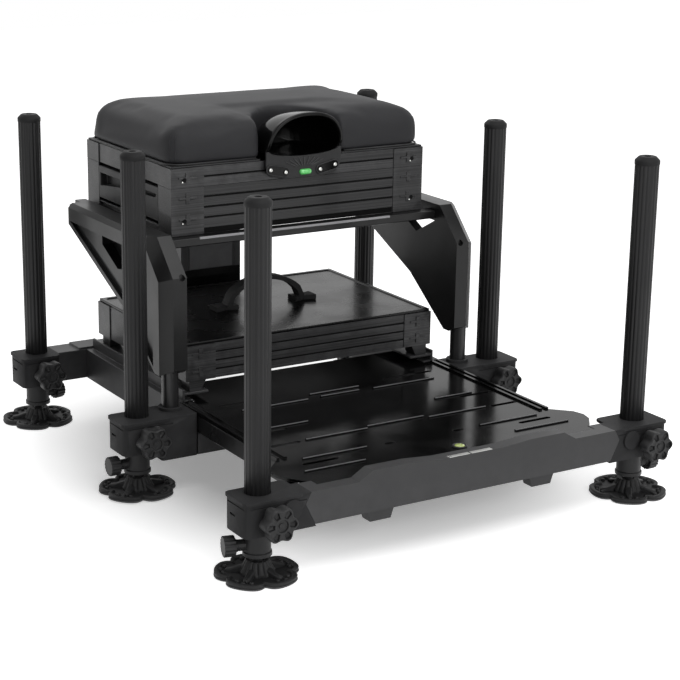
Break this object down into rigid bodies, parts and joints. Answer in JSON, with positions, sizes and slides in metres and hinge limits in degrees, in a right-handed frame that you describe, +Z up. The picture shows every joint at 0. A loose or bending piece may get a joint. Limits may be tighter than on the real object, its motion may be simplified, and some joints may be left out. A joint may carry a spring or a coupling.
{
  "type": "fishing seat box",
  "caption": "Fishing seat box on clamped telescopic legs, with a footplate that pulls out, a padded lifting seat with a pole socket, a side drawer, trays and tilting feet.",
  "frame": {"origin": "on the ground under the middle of the box's overall length and width", "axes": "+Z up, -Y towards the footplate's front beam, +X to the sitter's left hand as they face the front"},
  "size_m": [0.7646, 0.8874, 0.548],
  "materials": {
    "leg_metal": "fluted tube, black anodised, satin",
    "anodised": "black anodised, satin",
    "beam_metal": "dark grey anodised extrusion, satin",
    "profile_metal": "dark grey grooved extrusion, fine brushed",
    "cast_metal": "black powder coat on a casting",
    "glossy_cast": "gloss black paint",
    "glossy_plastic": "gloss black moulding",
    "moulded": "black moulding, fine texture",
    "foot_rubber": "matt",
    "vinyl": "smooth dark grey vinyl over foam",
    "webbing": "woven strap"
  },
  "bodies": {
    "frame": {"middle_casting_left": "cast_metal", "middle_casting_right": "cast_metal", "rear_block_left": "cast_metal", "rear_block_right": "cast_metal", "side_rail_left": "beam_metal", "side_rail_right": "beam_metal", "rear_beam": "beam_metal", "middle_crossmember": "beam_metal", "post_left": "anodised", "post_right": "anodised", "wing_left": "glossy_cast", "wing_right": "glossy_cast", "deck_front_rail": "anodised", "deck_rear_rail": "anodised", "rear_column": "beam_metal", "drawer_case": "profile_metal", "shallow_tray": "profile_metal"},
    "footplate": {"footplate_panel": "glossy_plastic", "front_beam": "beam_metal", "footplate_rail_left": "anodised", "footplate_rail_right": "anodised", "front_block_left": "cast_metal", "front_block_right": "cast_metal"},
    "seat": {"seat_base": "moulded", "seat_cushion": "vinyl", "pole_socket": "glossy_plastic"},
    "drawer": {"side_drawer": "moulded"},
    "lower_module": {"lower_case": "profile_metal"},
    "lid": {"lower_lid": "glossy_plastic", "carry_handle": "webbing"},
    "leg_front_left": {"leg_tube_front_left": "leg_metal", "foot_collar_front_left": "moulded"},
    "foot_front_left": {"foot_disc_front_left": "foot_rubber"},
    "knob_front_left": {"clamp_knob_front_left": "moulded"},
    "screw_front_left": {"collar_screw_front_left": "moulded"},
    "leg_front_right": {"leg_tube_front_right": "leg_metal", "foot_collar_front_right": "moulded"},
    "foot_front_right": {"foot_disc_front_right": "foot_rubber"},
    "knob_front_right": {"clamp_knob_front_right": "moulded"},
    "screw_front_right": {"collar_screw_front_right": "moulded"},
    "leg_middle_left": {"leg_tube_middle_left": "leg_metal", "foot_collar_middle_left": "moulded"},
    "foot_middle_left": {"foot_disc_middle_left": "foot_rubber"},
    "knob_middle_left": {"clamp_knob_middle_left": "moulded"},
    "screw_middle_left": {"collar_screw_middle_left": "moulded"},
    "leg_middle_right": {"leg_tube_middle_right": "leg_metal", "foot_collar_middle_right": "moulded"},
    "foot_middle_right": {"foot_disc_middle_right": "foot_rubber"},
    "knob_middle_right": {"clamp_knob_middle_right": "moulded"},
    "screw_middle_right": {"collar_screw_middle_right": "moulded"},
    "leg_rear_left": {"leg_tube_rear_left": "leg_metal", "foot_collar_rear_left": "moulded"},
    "foot_rear_left": {"foot_disc_rear_left": "foot_rubber"},
    "knob_rear_left": {"clamp_knob_rear_left": "moulded"},
    "screw_rear_left": {"collar_screw_rear_left": "moulded"},
    "leg_rear_right": {"leg_tube_rear_right": "leg_metal", "foot_collar_rear_right": "moulded"},
    "foot_rear_right": {"foot_disc_rear_right": "foot_rubber"},
    "knob_rear_right": {"clamp_knob_rear_right": "moulded"},
    "screw_rear_right": {"collar_screw_rear_right": "moulded"}
  },
  "joints": [
    {"name": "footplate_slide", "type": "slide", "parent": "frame", "child": "footplate", "axis": [0, -1, 0], "range_m": [0, 0.1]},
    {"name": "seat_hinge", "type": "hinge", "parent": "frame", "child": "seat", "pos_m": [0, 0.37765, 0.474], "axis": [-1, 0, 0], "range_deg": [0, 75]},
    {"name": "drawer_slide", "type": "slide", "parent": "frame", "child": "drawer", "axis": [-1, 0, 0], "range_m": [0, 0.3]},
    {"name": "lower_case_slide", "type": "slide", "parent": "frame", "child": "lower_module", "axis": [0, -1, 0], "range_m": [0, 0.25]},
    {"name": "lower_lid_hinge", "type": "hinge", "parent": "lower_module", "child": "lid", "pos_m": [0, 0.34465, 0.2053], "axis": [-1, 0, 0], "range_deg": [0, 18]},
    {"name": "leg_slide_front_left", "type": "slide", "parent": "footplate", "child": "leg_front_left", "axis": [0, 0, 1], "range_m": [-0.3, 0]},
    {"name": "foot_tilt_front_left", "type": "hinge", "parent": "leg_front_left", "child": "foot_front_left", "pos_m": [-0.324, -0.37535, 0.019], "axis": [1, 0, 0], "range_deg": [-12, 12]},
    {"name": "knob_turn_front_left", "type": "hinge", "parent": "footplate", "child": "knob_front_left", "pos_m": [-0.324, -0.41235, 0.0935], "axis": [0, -1, 0], "range_deg": [0, 360]},
    {"name": "screw_turn_front_left", "type": "hinge", "parent": "leg_front_left", "child": "screw_front_left", "pos_m": [-0.324, -0.37535, 0.046], "axis": [-0.9703, 0.2419, 0], "range_deg": [0, 360]},
    {"name": "leg_slide_front_right", "type": "slide", "parent": "footplate", "child": "leg_front_right", "axis": [0, 0, 1], "range_m": [-0.3, 0]},
    {"name": "foot_tilt_front_right", "type": "hinge", "parent": "leg_front_right", "child": "foot_front_right", "pos_m": [0.324, -0.37535, 0.019], "axis": [1, 0, 0], "range_deg": [-12, 12]},
    {"name": "knob_turn_front_right", "type": "hinge", "parent": "footplate", "child": "knob_front_right", "pos_m": [0.324, -0.41235, 0.0935], "axis": [0, -1, 0], "range_deg": [0, 360]},
    {"name": "screw_turn_front_right", "type": "hinge", "parent": "leg_front_right", "child": "screw_front_right", "pos_m": [0.324, -0.37535, 0.046], "axis": [1, 0, 0], "range_deg": [0, 360]},
    {"name": "leg_slide_middle_left", "type": "slide", "parent": "frame", "child": "leg_middle_left", "axis": [0, 0, 1], "range_m": [-0.3, 0]},
    {"name": "foot_tilt_middle_left", "type": "hinge", "parent": "leg_middle_left", "child": "foot_middle_left", "pos_m": [-0.324, -0.00335, 0.019], "axis": [1, 0, 0], "range_deg": [-12, 12]},
    {"name": "knob_turn_middle_left", "type": "hinge", "parent": "frame", "child": "knob_middle_left", "pos_m": [-0.324, -0.04035, 0.0935], "axis": [0, -1, 0], "range_deg": [0, 360]},
    {"name": "screw_turn_middle_left", "type": "hinge", "parent": "leg_middle_left", "child": "screw_middle_left", "pos_m": [-0.324, -0.00335, 0.046], "axis": [-1, 0, 0], "range_deg": [0, 360]},
    {"name": "leg_slide_middle_right", "type": "slide", "parent": "frame", "child": "leg_middle_right", "axis": [0, 0, 1], "range_m": [-0.3, 0]},
    {"name": "foot_tilt_middle_right", "type": "hinge", "parent": "leg_middle_right", "child": "foot_middle_right", "pos_m": [0.324, -0.00335, 0.019], "axis": [1, 0, 0], "range_deg": [-12, 12]},
    {"name": "knob_turn_middle_right", "type": "hinge", "parent": "frame", "child": "knob_middle_right", "pos_m": [0.324, -0.04035, 0.0935], "axis": [0, -1, 0], "range_deg": [0, 360]},
    {"name": "screw_turn_middle_right", "type": "hinge", "parent": "leg_middle_right", "child": "screw_middle_right", "pos_m": [0.324, -0.00335, 0.046], "axis": [1, 0, 0], "range_deg": [0, 360]},
    {"name": "leg_slide_rear_left", "type": "slide", "parent": "frame", "child": "leg_rear_left", "axis": [0, 0, 1], "range_m": [-0.3, 0]},
    {"name": "foot_tilt_rear_left", "type": "hinge", "parent": "leg_rear_left", "child": "foot_rear_left", "pos_m": [-0.324, 0.38465, 0.019], "axis": [1, 0, 0], "range_deg": [-12, 12]},
    {"name": "knob_turn_rear_left", "type": "hinge", "parent": "frame", "child": "knob_rear_left", "pos_m": [-0.324, 0.34765, 0.0935], "axis": [0, -1, 0], "range_deg": [0, 360]},
    {"name": "screw_turn_rear_left", "type": "hinge", "parent": "leg_rear_left", "child": "screw_rear_left", "pos_m": [-0.324, 0.38465, 0.046], "axis": [0.9703, 0.2419, 0], "range_deg": [0, 360]},
    {"name": "leg_slide_rear_right", "type": "slide", "parent": "frame", "child": "leg_rear_right", "axis": [0, 0, 1], "range_m": [-0.3, 0]},
    {"name": "foot_tilt_rear_right", "type": "hinge", "parent": "leg_rear_right", "child": "foot_rear_right", "pos_m": [0.324, 0.38465, 0.019], "axis": [1, 0, 0], "range_deg": [-12, 12]},
    {"name": "knob_turn_rear_right", "type": "hinge", "parent": "frame", "child": "knob_rear_right", "pos_m": [0.324, 0.34765, 0.0935], "axis": [0, -1, 0], "range_deg": [0, 360]},
    {"name": "screw_turn_rear_right", "type": "hinge", "parent": "leg_rear_right", "child": "screw_rear_right", "pos_m": [0.324, 0.38465, 0.046], "axis": [1, 0, 0], "range_deg": [0, 360]}
  ]
}
